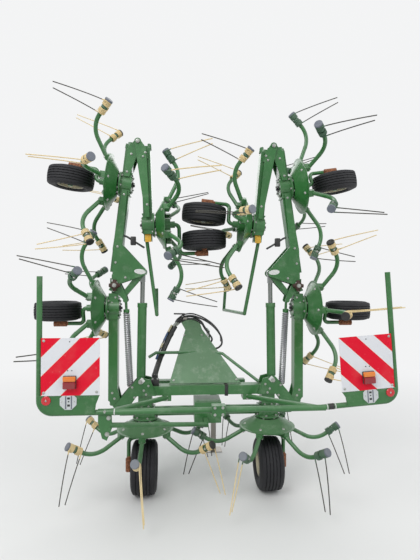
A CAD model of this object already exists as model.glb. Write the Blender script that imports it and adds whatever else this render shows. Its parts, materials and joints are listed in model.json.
"""Looks of a mounted hay tedder that stands with its wings folded up for the road.

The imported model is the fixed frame. This script gives every carried-over node its finish and
adds what is too fine for it: tyre tread, wound tines and springs, bolts, hoses, lamps and plates.
"""

from __future__ import annotations

import json
import logging
import math
from dataclasses import dataclass
from enum import Enum
from typing import Callable

import bmesh
import bpy
from mathutils import Matrix, Vector


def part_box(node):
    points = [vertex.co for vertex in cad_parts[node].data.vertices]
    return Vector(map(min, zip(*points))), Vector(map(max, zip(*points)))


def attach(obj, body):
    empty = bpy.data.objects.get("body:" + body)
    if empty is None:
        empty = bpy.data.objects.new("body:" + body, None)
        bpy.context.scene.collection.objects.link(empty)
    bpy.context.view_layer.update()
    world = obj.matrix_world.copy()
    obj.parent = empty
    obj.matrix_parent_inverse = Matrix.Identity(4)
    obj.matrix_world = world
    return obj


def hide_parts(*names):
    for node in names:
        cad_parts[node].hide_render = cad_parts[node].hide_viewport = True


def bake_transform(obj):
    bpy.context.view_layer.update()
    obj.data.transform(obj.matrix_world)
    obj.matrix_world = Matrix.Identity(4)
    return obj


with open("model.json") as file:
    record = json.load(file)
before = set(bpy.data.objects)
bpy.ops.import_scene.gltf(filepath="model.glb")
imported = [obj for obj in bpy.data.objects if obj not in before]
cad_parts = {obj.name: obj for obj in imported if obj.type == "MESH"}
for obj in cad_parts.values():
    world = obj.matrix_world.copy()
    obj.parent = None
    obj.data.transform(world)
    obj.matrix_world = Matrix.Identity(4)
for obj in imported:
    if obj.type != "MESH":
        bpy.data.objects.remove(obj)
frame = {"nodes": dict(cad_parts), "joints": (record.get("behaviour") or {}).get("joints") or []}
log = logging.getLogger("hay_tedder")
Colour = tuple[float, float, float]
Point = tuple[float, float, float]
SHARP_ANGLE = math.radians(32.0)
DUST: Colour = (0.3, 0.27, 0.2)
FACING_BACK = Matrix.Rotation(math.pi / 2, 4, "X")


class Side(Enum):
    """Which side of the machine a piece is on, as seen from behind."""

    LEFT = -1
    RIGHT = 1


class Section(Enum):
    """The four sections of a wing, from the middle outwards."""

    CENTRE = 0
    INNER = 1
    MIDDLE = 2
    OUTER = 3


# Shader helpers


class NodeTree:
    """A small wrapper that adds and links shader nodes by short calls."""

    def __init__(self, tree: bpy.types.NodeTree) -> None:
        """Takes over a node tree.

        Args:
            tree: The material's or the group's node tree.
        """
        self.tree = tree

    def add(self, kind: str, **values: object) -> bpy.types.Node:
        """Adds a node and sets its properties and sockets.

        Args:
            kind: The node's type name, without the leading ShaderNode.
            **values: Properties by name, or sockets by name with spaces written as underscores.

        Returns:
            The new node.
        """
        node = self.tree.nodes.new(kind if kind.startswith("Node") else "ShaderNode" + kind)
        for key, value in values.items():
            if hasattr(node, key):
                setattr(node, key, value)
            else:
                self.put(node, key.replace("_", " "), value)
        return node

    def put(self, node: bpy.types.Node, socket: str | int, value: object) -> None:
        """Sets a socket to a value, or links another node's output to it.

        Args:
            node: The node that has the socket.
            socket: The socket's name or index.
            value: A plain value, or an output socket.
        """
        target = node.inputs[socket]
        if isinstance(value, bpy.types.NodeSocket):
            self.tree.links.new(value, target)
        elif isinstance(value, tuple) and len(value) == 3 and target.type == "RGBA":
            target.default_value = (*value, 1.0)
        else:
            target.default_value = value

    def math(self, operation: str, a: object, b: object = 0.0, clamp: bool = False) -> bpy.types.NodeSocket:
        """Adds a Math node.

        Args:
            operation: The node's operation.
            a: First value or socket.
            b: Second value or socket.
            clamp: Whether the result is kept between 0 and 1.

        Returns:
            The result's socket.
        """
        node = self.add("Math", operation=operation, use_clamp=clamp)
        self.put(node, 0, a)
        self.put(node, 1, b)
        return node.outputs[0]

    def vector_math(self, operation: str, a: object, b: object) -> bpy.types.Node:
        """Adds a Vector Math node.

        Args:
            operation: The node's operation.
            a: First vector or socket.
            b: Second vector or socket.

        Returns:
            The node.
        """
        node = self.add("VectorMath", operation=operation)
        self.put(node, 0, a)
        self.put(node, 1, b)
        return node

    def mix(self, factor: object, a: object, b: object) -> bpy.types.NodeSocket:
        """Mixes two colours.

        Args:
            factor: Share of the second colour.
            a: First colour.
            b: Second colour.

        Returns:
            The mixed colour's socket.
        """
        node = self.add("Mix", data_type="RGBA")
        self.put(node, 0, factor)
        self.put(node, 6, a)
        self.put(node, 7, b)
        return node.outputs[2]

    def ramp(self, value: object, low: float, high: float) -> bpy.types.NodeSocket:
        """Stretches a value so that low becomes 0 and high becomes 1.

        Args:
            value: The value's socket.
            low: What becomes 0.
            high: What becomes 1.

        Returns:
            The stretched value's socket.
        """
        node = self.add("MapRange", interpolation_type="SMOOTHSTEP")
        falling = low > high
        low, high = min(low, high), max(low, high)
        for k, item in enumerate((value, low, high, 1.0 if falling else 0.0, 0.0 if falling else 1.0)):
            self.put(node, k, item)
        return node.outputs[0]

    def noise(self, vector: object, scale: float, detail: float = 4.0,
              rough: float = 0.6) -> bpy.types.NodeSocket:
        """Adds a noise texture.

        Args:
            vector: Where it is read.
            scale: Its scale.
            detail: Its octaves.
            rough: How strong the fine octaves are.

        Returns:
            The noise value's socket.
        """
        node = self.add("TexNoise", Scale=scale, Detail=detail, Roughness=rough)
        self.put(node, "Vector", vector)
        return node.outputs[0]


def shader_group(name: str, inputs: dict[str, object], outputs: dict[str, str],
                 build: Callable[[NodeTree, bpy.types.Node, bpy.types.Node], None]) -> bpy.types.NodeTree:
    """Makes a shader node group with named inputs and outputs.

    Args:
        name: The group's name.
        inputs: Default value of each input; a tuple is a colour, None a vector.
        outputs: Socket type of each output.
        build: Fills the group, from its tree and its input and output nodes.

    Returns:
        The group's tree.
    """
    tree = bpy.data.node_groups.new(name, "ShaderNodeTree")
    for key, value in inputs.items():
        kind = "NodeSocketVector" if value is None else (
            "NodeSocketColor" if isinstance(value, tuple) else "NodeSocketFloat")
        socket = tree.interface.new_socket(name=key, in_out="INPUT", socket_type=kind)
        if value is not None:
            socket.default_value = (*value, 1.0) if isinstance(value, tuple) else value
    for key, kind in outputs.items():
        tree.interface.new_socket(name=key, in_out="OUTPUT", socket_type=kind)
    build(NodeTree(tree), tree.nodes.new("NodeGroupInput"), tree.nodes.new("NodeGroupOutput"))
    return tree


def fill_weather(t: NodeTree, source: bpy.types.Node, sink: bpy.types.Node) -> None:
    """Fills the group that fades, dusts, stains and wears a surface.

    Args:
        t: The group's tree.
        source: Its input node.
        sink: Its output node.
    """
    place = source.outputs["Place"]
    broad = t.ramp(t.noise(place, 2.3, 3.0), 0.32, 0.68)
    faded = t.mix(t.math("MULTIPLY", broad, source.outputs["Fade"]), source.outputs["Colour"],
                  source.outputs["Faded"])
    fine = t.ramp(t.noise(place, 26.0, 8.0, 0.75), 0.35, 0.75)
    mottled = t.mix(t.math("MULTIPLY", fine, 0.22), faded, source.outputs["Faded"])
    patches = t.ramp(t.noise(place, 11.0, 6.0, 0.7), 0.5, 0.72)
    facing = t.add("SeparateXYZ", Vector=t.add("NewGeometry").outputs["Normal"]).outputs["Z"]
    upward = t.ramp(facing, -0.2, 0.9)
    lying = t.math("ADD", t.math("MULTIPLY", upward, 0.55), t.math("MULTIPLY", patches, 0.6))
    dust = t.math("MULTIPLY", lying, source.outputs["Dust"], clamp=True)
    dusted = t.mix(dust, mottled, source.outputs["Dust Colour"])
    worn_noise = t.noise(place, 60.0, 6.0, 0.7)
    rubbed = t.ramp(t.math("ADD", source.outputs["Edge"], worn_noise), 1.2, 1.5)
    worn = t.math("MULTIPLY", rubbed, source.outputs["Wear"])
    bared = t.mix(worn, dusted, source.outputs["Bare Colour"])
    specks = t.ramp(t.noise(place, 46.0, 8.0, 0.75), 0.64, 0.73)
    ragged = t.math("MULTIPLY", t.noise(place, 34.0, 6.0, 0.7), 0.9)
    heavy = t.ramp(t.math("ADD", source.outputs["Spot"], ragged), 0.85, 1.15)
    stain = t.math("MAXIMUM", t.math("MULTIPLY", specks, source.outputs["Rust"], clamp=True), heavy)
    rusty = t.mix(t.ramp(t.noise(place, 70.0, 5.0), 0.35, 0.65), (0.13, 0.045, 0.02), (0.33, 0.13, 0.06))
    t.put(sink, "Colour", t.mix(stain, bared, rusty))
    rough = t.math("ADD", source.outputs["Roughness"], t.math("MULTIPLY", dust, 0.35))
    t.put(sink, "Roughness", t.math("ADD", rough, t.math("MULTIPLY", stain, 0.45), clamp=True))
    t.put(sink, "Clean", t.math("SUBTRACT", 1.0, t.math("ADD", dust, stain, clamp=True), clamp=True))
    grain = t.math("ADD", t.noise(place, 240.0, 3.0), t.math("MULTIPLY", fine, 0.35))
    t.put(sink, "Height", t.math("ADD", grain, t.math("MULTIPLY", stain, 0.9)))


WEATHER = shader_group(
    "weather",
    {"Place": None, "Colour": (0.1, 0.1, 0.1), "Faded": (0.2, 0.2, 0.2), "Dust Colour": DUST,
     "Bare Colour": (0.3, 0.3, 0.29), "Fade": 0.6, "Dust": 0.3, "Rust": 0.3, "Wear": 0.5, "Edge": 0.0,
     "Spot": 0.0, "Roughness": 0.4},
    {"Colour": "NodeSocketColor", "Roughness": "NodeSocketFloat", "Height": "NodeSocketFloat",
     "Clean": "NodeSocketFloat"},
    fill_weather)


@dataclass(frozen=True)
class Finish:
    """A weathered finish: paint, cast, plastic or rubber, from the shared weather group."""

    name: str
    colour: Colour
    faded: Colour
    fade: float = 0.6
    dust: float = 0.3
    rust: float = 0.2
    wear: float = 0.0
    roughness: float = 0.4
    metallic: float = 0.0
    coat: float = 0.0
    bump: float = 0.15
    edge_radius: float = 0.003
    dust_colour: Colour = DUST
    rust_spots: tuple[Point, ...] = ()
    spot_radius: float = 0.07

    def material(self) -> bpy.types.Material:
        """Builds the material once and returns it.

        Returns:
            The finish's material.
        """
        found = bpy.data.materials.get(self.name)
        if found:
            return found
        made = bpy.data.materials.new(self.name)
        made.use_nodes = True
        t = NodeTree(made.node_tree)
        shader = made.node_tree.nodes["Principled BSDF"]
        place = t.add("TexCoord").outputs["Object"]
        weather = t.add("Group", node_tree=WEATHER)
        for key, value in {"Place": place, "Colour": self.colour, "Faded": self.faded, "Fade": self.fade,
                           "Dust": self.dust, "Dust Colour": self.dust_colour, "Rust": self.rust,
                           "Wear": self.wear, "Roughness": self.roughness}.items():
            t.put(weather, key, value)
        self.fill_spots(t, weather, place)
        bump = t.add("Bump", Strength=self.bump, Distance=0.002)
        t.put(bump, "Height", weather.outputs["Height"])
        if self.wear > 0.0:
            rounded = t.add("Bevel", samples=4, Radius=self.edge_radius)
            straight = t.add("NewGeometry").outputs["Normal"]
            along = t.vector_math("DOT_PRODUCT", rounded.outputs[0], straight).outputs["Value"]
            t.put(weather, "Edge", t.ramp(along, 0.97, 0.72))
            t.put(bump, "Normal", rounded.outputs[0])
        t.put(shader, "Base Color", weather.outputs["Colour"])
        t.put(shader, "Roughness", weather.outputs["Roughness"])
        t.put(shader, "Normal", bump.outputs[0])
        t.put(shader, "Metallic", self.metallic)
        if self.coat > 0.0:
            t.put(shader, "Coat Weight", t.math("MULTIPLY", weather.outputs["Clean"], self.coat))
            t.put(shader, "Coat Roughness", 0.12)
        made.diffuse_color = (*self.colour, 1.0)
        return made

    def fill_spots(self, t: NodeTree, weather: bpy.types.Node, place: bpy.types.NodeSocket) -> None:
        """Masks the rust round each of the finish's spots.

        Args:
            t: The material's tree.
            weather: Its weather node.
            place: Object coordinates.
        """
        mask: object = 0.0
        for spot in self.rust_spots:
            away = t.vector_math("DISTANCE", place, spot).outputs["Value"]
            mask = t.math("MAXIMUM", mask, t.ramp(away, self.spot_radius * 1.25, self.spot_radius * 0.7))
        if self.rust_spots:
            t.put(weather, "Spot", mask)

    def rusted_at(self, label: str, spots: list[Point], radius: float) -> Finish:
        """Copies the finish with rust round some points.

        Args:
            label: What is added to the name.
            spots: The points, at rest.
            radius: How far the rust reaches.

        Returns:
            The rusted copy.
        """
        values = {key: getattr(self, key) for key in self.__dataclass_fields__}
        values.update(name=f"{self.name}_{label}", rust_spots=tuple(spots), spot_radius=radius)
        return Finish(**values)


# Each finish: name, colour, faded colour, fade, dust, rust, wear, roughness
GREEN = Finish("green_paint", (0.012, 0.112, 0.018), (0.05, 0.19, 0.055), 0.5, 0.34, 0.1, 0.1, 0.36,
               coat=0.35, dust_colour=(0.3, 0.36, 0.28))
HOOD_GREEN = Finish("hood_paint", (0.02, 0.125, 0.028), (0.07, 0.21, 0.08), 0.6, 0.62, 0.08, 0.1, 0.34,
                    coat=0.45, dust_colour=(0.3, 0.37, 0.29))
RIM_CREAM = Finish("rim_cream", (0.5, 0.46, 0.33), (0.58, 0.54, 0.42), 0.5, 0.45, 0.8, 0.3, 0.5)
RIM_SILVER = Finish("rim_silver", (0.42, 0.43, 0.43), (0.5, 0.5, 0.49), 0.5, 0.2, 0.35, 0.2, 0.3,
                    metallic=0.7)
COIL_CREAM = Finish("coil_cream", (0.66, 0.5, 0.24), (0.72, 0.6, 0.36), 0.6, 0.12, 0.3, 0.0, 0.42)
COIL_GREEN = Finish("coil_green", (0.03, 0.1, 0.05), (0.12, 0.19, 0.13), 0.7, 0.2, 0.5, 0.0, 0.45)
WIRE_DARK = Finish("wire_dark", (0.035, 0.033, 0.028), (0.09, 0.085, 0.07), 0.7, 0.1, 0.7, 0.0, 0.45,
                   metallic=0.4)
RUBBER = Finish("tyre_rubber", (0.006, 0.006, 0.008), (0.016, 0.016, 0.019), 0.8, 0.3, 0.0, 0.0, 0.68,
                bump=0.3, dust_colour=(0.025, 0.025, 0.03))
HOSE_BLACK = Finish("hose_rubber", (0.008, 0.009, 0.01), (0.03, 0.032, 0.034), 0.5, 0.08, 0.0, 0.0, 0.38,
                    coat=0.2)
PLASTIC_BLACK = Finish("black_plastic", (0.01, 0.01, 0.011), (0.035, 0.035, 0.037), 0.5, 0.12, 0.0, 0.0,
                       0.45)
CAP_GREY = Finish("cap_grey", (0.11, 0.125, 0.16), (0.2, 0.22, 0.25), 0.5, 0.15, 0.2, 0.0, 0.42)
CAST_RUST = Finish("cast_rust", (0.028, 0.014, 0.011), (0.07, 0.03, 0.02), 0.7, 0.15, 0.9, 0.0, 0.7,
                   bump=0.4)
BARE_STEEL = Finish("bare_steel", (0.3, 0.29, 0.28), (0.42, 0.41, 0.4), 0.5, 0.25, 0.6, 0.3, 0.4,
                    metallic=0.8)
SPRING_STEEL = Finish("spring_steel", (0.36, 0.37, 0.39), (0.5, 0.5, 0.5), 0.5, 0.08, 0.25, 0.0, 0.3,
                      metallic=0.85)
ZINC = Finish("zinc_bolt", (0.36, 0.38, 0.35), (0.5, 0.51, 0.47), 0.5, 0.12, 0.3, 0.0, 0.35, metallic=0.45)
CHROME = Finish("rod_chrome", (0.3, 0.32, 0.31), (0.22, 0.24, 0.22), 0.6, 0.05, 0.1, 0.0, 0.2,
                metallic=0.95, bump=0.02)
LENS_AMBER = Finish("lens_amber", (0.68, 0.17, 0.012), (0.75, 0.25, 0.03), 0.4, 0.05, 0.0, 0.0, 0.14,
                    coat=0.6, bump=0.02)
LENS_RED = Finish("lens_red", (0.22, 0.006, 0.012), (0.3, 0.014, 0.022), 0.4, 0.04, 0.0, 0.0, 0.14,
                  coat=0.6, bump=0.02)
REFLECTOR_RED = Finish("reflector_red", (0.52, 0.006, 0.012), (0.6, 0.02, 0.03), 0.3, 0.02, 0.0, 0.0, 0.16,
                       coat=0.5)
SIGN_WHITE = Finish("sign_white", (0.5, 0.53, 0.54), (0.58, 0.6, 0.6), 0.4, 0.15, 0.1, 0.0, 0.4)
LABEL_WHITE = Finish("label_white", (0.66, 0.67, 0.66), (0.56, 0.57, 0.55), 0.5, 0.15, 0.0, 0.0, 0.35)
LABEL_YELLOW = Finish("label_yellow", (0.72, 0.38, 0.02), (0.75, 0.48, 0.08), 0.5, 0.08, 0.0, 0.0, 0.35)
TAPE_BLUE = Finish("tape_blue", (0.025, 0.08, 0.2), (0.07, 0.13, 0.27), 0.5, 0.1, 0.0, 0.0, 0.4)
TAPE_CREAM = Finish("tape_cream", (0.6, 0.52, 0.32), (0.64, 0.58, 0.4), 0.5, 0.1, 0.0, 0.0, 0.45)


# Mesh helpers


def frame_along(at: Vector, direction: Vector) -> Matrix:
    """Makes the frame at a point whose Z follows a direction.

    Args:
        at: The frame's origin.
        direction: Where its Z points.

    Returns:
        The frame's matrix.
    """
    return Matrix.Translation(at) @ direction.to_track_quat("Z", "Y").to_matrix().to_4x4()


def curve_point(a: Vector, b: Vector, c: Vector, d: Vector, t: float) -> Vector:
    """Finds a point between the second and the third of four points on a smooth curve.

    Args:
        a: Point before.
        b: Start.
        c: End.
        d: Point after.
        t: Share of the way from start to end.

    Returns:
        The point.
    """
    squared, cubed = 2 * a - 5 * b + 4 * c - d, 3 * b - a - 3 * c + d
    return 0.5 * (2 * b + (c - a) * t + squared * t ** 2 + cubed * t ** 3)


def smooth_route(points: list[Point], steps: int = 4) -> list[Vector]:
    """Rounds a route of a few points.

    Args:
        points: The route's chosen points.
        steps: Steps between two of them.

    Returns:
        The rounded route.
    """
    p = [Vector(q) for q in points]
    last = len(p) - 1
    return [curve_point(p[max(k - 1, 0)], p[k], p[k + 1], p[min(k + 2, last)], j / steps)
            for k in range(last) for j in range(steps)] + [p[last]]


class Shape:
    """A piece that is put together from bmesh parts, each with its own finish."""

    def __init__(self) -> None:
        """Starts with no parts."""
        self.parts: list[tuple[bpy.types.Mesh, Matrix, Finish]] = []

    def keep(self, bm: bmesh.types.BMesh, finish: Finish, matrix: Matrix | None = None) -> None:
        """Stores a finished bmesh as one more part.

        Args:
            bm: The part's bmesh, which is freed.
            finish: Its finish.
            matrix: Where it goes.
        """
        bmesh.ops.recalc_face_normals(bm, faces=bm.faces)
        mesh = bpy.data.meshes.new("part")
        bm.to_mesh(mesh)
        bm.free()
        self.parts.append((mesh, matrix or Matrix(), finish))

    def stamp(self, other: Shape, matrix: Matrix) -> None:
        """Adds a copy of another shape.

        Args:
            other: The shape that is repeated.
            matrix: Where the copy goes.
        """
        self.parts += [(mesh, matrix @ own, finish) for mesh, own, finish in other.parts]

    def rod(self, a: Vector, b: Vector, radius: float, finish: Finish, sides: int = 16,
            bevel: float = 0.0) -> None:
        """Adds a round bar between two points.

        Args:
            a: Its start.
            b: Its end.
            radius: Its radius.
            finish: Its finish.
            sides: Facets round it.
            bevel: Chamfer of its rims.
        """
        a, b = Vector(a), Vector(b)
        bm = bmesh.new()
        bmesh.ops.create_cone(bm, cap_ends=True, segments=sides, radius1=radius, radius2=radius,
                              depth=(b - a).length)
        if bevel > 0.0:
            rims = [e for e in bm.edges if abs(e.verts[0].co.z - e.verts[1].co.z) < 1e-6]
            bmesh.ops.bevel(bm, geom=rims, offset=bevel, offset_type="OFFSET", segments=2, profile=0.5,
                            affect="EDGES", material=-1)
        self.keep(bm, finish, frame_along((a + b) / 2, b - a))

    def box(self, low: Point, high: Point, finish: Finish, bevel: float = 0.0,
            matrix: Matrix | None = None) -> None:
        """Adds a box with rounded edges.

        Args:
            low: Its lowest corner.
            high: Its highest corner.
            finish: Its finish.
            bevel: Rounding of its edges.
            matrix: Where it goes.
        """
        low_at, high_at = Vector(low), Vector(high)
        bm = bmesh.new()
        bmesh.ops.create_cube(bm, size=1.0)
        bmesh.ops.scale(bm, vec=high_at - low_at, verts=bm.verts)
        bmesh.ops.translate(bm, vec=(low_at + high_at) / 2, verts=bm.verts)
        if bevel > 0.0:
            bmesh.ops.bevel(bm, geom=bm.edges[:], offset=bevel, offset_type="OFFSET", segments=2, profile=0.5,
                            affect="EDGES", material=-1)
        self.keep(bm, finish, matrix)

    def turned(self, profile: list[tuple[float, float]], finish: Finish, steps: int = 24,
               matrix: Matrix | None = None,
               shape: Callable[[bmesh.types.BMesh], None] | None = None) -> None:
        """Adds a turned part: a closed outline in radius and height, spun about Z.

        Args:
            profile: The outline's corners as radius and height.
            finish: Its finish.
            steps: Steps of the spin.
            matrix: Where it goes.
            shape: A last change to the turned bmesh.
        """
        bm = bmesh.new()
        ring = [bm.verts.new((r, 0.0, z)) for r, z in profile]
        edges = [bm.edges.new((v, ring[(k + 1) % len(ring)])) for k, v in enumerate(ring)]
        bmesh.ops.spin(bm, geom=ring + edges, cent=(0, 0, 0), axis=(0, 0, 1), angle=math.tau, steps=steps,
                       use_merge=True)
        bmesh.ops.remove_doubles(bm, verts=bm.verts, dist=1e-5)
        if shape:
            shape(bm)
        self.keep(bm, finish, matrix)

    def sweep(self, points: list[Vector], radius: float, finish: Finish, sides: int = 8) -> None:
        """Adds a round wire or tube along some points.

        Args:
            points: The points of its middle line.
            radius: Its radius.
            finish: Its finish.
            sides: Facets round it.
        """
        bm = bmesh.new()
        last = len(points) - 1
        ways = [(points[min(k + 1, last)] - points[max(k - 1, 0)]).normalized() for k in range(last + 1)]
        here = frame_along(points[0], ways[0])
        ring = bmesh.ops.create_circle(bm, cap_ends=True, segments=sides, radius=radius, matrix=here)["verts"]
        edges = list({e for v in ring for e in v.link_edges})
        turn = ways[0].to_track_quat("Z", "Y")
        for k in range(1, len(points)):
            turn = ways[k - 1].rotation_difference(ways[k]) @ turn
            there = Matrix.Translation(points[k]) @ turn.to_matrix().to_4x4()
            made = bmesh.ops.extrude_edge_only(bm, edges=edges)["geom"]
            ring = [v for v in made if isinstance(v, bmesh.types.BMVert)]
            fresh = set(ring)
            edges = [e for e in made if isinstance(e, bmesh.types.BMEdge) and fresh.issuperset(e.verts)]
            bmesh.ops.transform(bm, matrix=there @ here.inverted(), verts=ring)
            here = there
        bmesh.ops.edgeloop_fill(bm, edges=edges)
        self.keep(bm, finish)

    def plate(self, outline: list[tuple[float, float]], thickness: float, finish: Finish,
              matrix: Matrix, bevel: float = 0.0) -> None:
        """Adds a flat plate: an outline in X and Y that is thickened along Z.

        Args:
            outline: The outline's corners.
            thickness: How thick it is.
            finish: Its finish.
            matrix: Where it goes.
            bevel: Chamfer of its upper rim.
        """
        bm = bmesh.new()
        face = bm.faces.new([bm.verts.new((x, y, 0.0)) for x, y in outline])
        made = bmesh.ops.extrude_face_region(bm, geom=[face])["geom"]
        upper = [v for v in made if isinstance(v, bmesh.types.BMVert)]
        bmesh.ops.translate(bm, vec=(0, 0, thickness), verts=upper)
        if bevel > 0.0:
            rim = [e for e in bm.edges if all(v in upper for v in e.verts)]
            bmesh.ops.bevel(bm, geom=rim, offset=bevel, offset_type="OFFSET", segments=1, profile=0.5,
                            affect="EDGES", material=-1)
        self.keep(bm, finish, matrix)

    def build(self, name: str, body: str, slot: str, replaced: tuple[str, ...] = ()) -> bpy.types.Object:
        """Joins the parts into one mesh object that rides on a body.

        Args:
            name: The piece's name.
            body: The body that it moves with.
            slot: The record's material slot.
            replaced: The nodes that it stands for.

        Returns:
            The new object.
        """
        bm = bmesh.new()
        finishes: list[Finish] = []
        for mesh, matrix, finish in self.parts:
            if finish not in finishes:
                finishes.append(finish)
            copy = mesh.copy()
            copy.transform(matrix)
            if matrix.determinant() < 0:
                copy.flip_normals()
            copy.polygons.foreach_set("material_index", [finishes.index(finish)] * len(copy.polygons))
            bm.from_mesh(copy)
            bpy.data.meshes.remove(copy)
        for edge in bm.edges:
            edge.smooth = not edge.is_manifold or edge.calc_face_angle(0.0) < SHARP_ANGLE
        for face in bm.faces:
            face.smooth = True
        whole = bpy.data.meshes.new(name)
        bm.to_mesh(whole)
        bm.free()
        piece = bpy.data.objects.new(name, whole)
        bpy.context.scene.collection.objects.link(piece)
        for finish in finishes:
            whole.materials.append(finish.material())
        if body:
            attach(piece, body)
        if replaced:
            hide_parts(*replaced)
        log.info("%s: %d faces on %s", name, len(whole.polygons), body or "two bodies")
        return piece


def hex_bolt(size: float, finish: Finish) -> Shape:
    """Makes a bolt head on its washer, standing on z = 0.

    Args:
        size: Thread diameter.
        finish: Its finish.

    Returns:
        The bolt's shape.
    """
    made = Shape()
    made.rod(Vector((0, 0, 0)), Vector((0, 0, size * 0.2)), size * 1.05, finish, 14)
    made.rod(Vector((0, 0, size * 0.2)), Vector((0, 0, size * 0.85)), size * 0.9, finish, 6,
             bevel=size * 0.07)
    made.rod(Vector((0, 0, size * 0.85)), Vector((0, 0, size * 1.15)), size * 0.48, finish, 8)
    return made


def dome_bolt(size: float, finish: Finish) -> Shape:
    """Makes a round-headed bolt, standing on z = 0.

    Args:
        size: Thread diameter.
        finish: Its finish.

    Returns:
        The bolt's shape.
    """
    made = Shape()
    made.turned([(0.0, -0.001), (size * 1.1, -0.001), (size * 1.1, size * 0.12), (size * 0.95, size * 0.34),
                 (size * 0.55, size * 0.52), (0.0, size * 0.58)], finish, 12)
    return made


M12 = hex_bolt(0.01, ZINC)
M16 = hex_bolt(0.015, ZINC)
PIN_NUT = hex_bolt(0.018, ZINC)
DOME = dome_bolt(0.0115, ZINC)


# The machine's sub-assemblies


@dataclass(frozen=True)
class Station:
    """One rotor's place in the machine, with the geometry of its section."""

    side: Side
    section: Section
    pitch: float = 1.1
    shaft_z: float = 0.7

    @property
    def name(self) -> str:
        """The rotor's name, as in the frame's nodes."""
        return f"{self.section.name.lower()}_{self.side.name.lower()}"

    @property
    def boom_body(self) -> str:
        """The body that carries the rotor's gearbox."""
        return "root" if self.section is Section.CENTRE else f"wing_{self.name}"

    @property
    def leading(self) -> bool:
        """Whether the rotor starts with an arm that points outwards."""
        return (self.section.value + (self.side is Side.RIGHT)) % 2 == 1

    @property
    def phase(self) -> float:
        """Angle of the rotor's first arm."""
        return self.side.value * math.radians(2.0 if self.leading else 28.0)

    @property
    def sense(self) -> int:
        """Which way the tines trail in the rotor's own frame."""
        return self.side.value * (1 if self.leading else -1)

    def matrix(self) -> Matrix:
        """Finds the rotor's frame: X outwards, Z up from the ground as it works, folded as it stands.

        Returns:
            The frame's matrix, mirrored on the left side.
        """
        joint = next(j for j in frame["joints"] if j["name"] == f"spin_{self.name}")
        up = Vector(joint["axis"]).normalized()
        forward = Vector((0.0, 1.0, 0.0))
        out = forward.cross(up) * self.side.value
        at = Vector(joint["pos_m"]) - up * self.shaft_z
        return Matrix.Translation(at) @ Matrix((out, forward, up)).transposed().to_4x4()

    def place(self, x: float, y: float, z: float) -> Vector:
        """Turns a place on the working machine into one on the folded machine.

        Args:
            x: Distance outwards from the machine's middle.
            y: Distance forwards.
            z: Height.

        Returns:
            The place as it stands folded.
        """
        return self.matrix() @ Vector((x - self.pitch * (0.5 + self.section.value), y, z))


STATIONS = [Station(side, section) for section in Section for side in Side]


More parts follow.
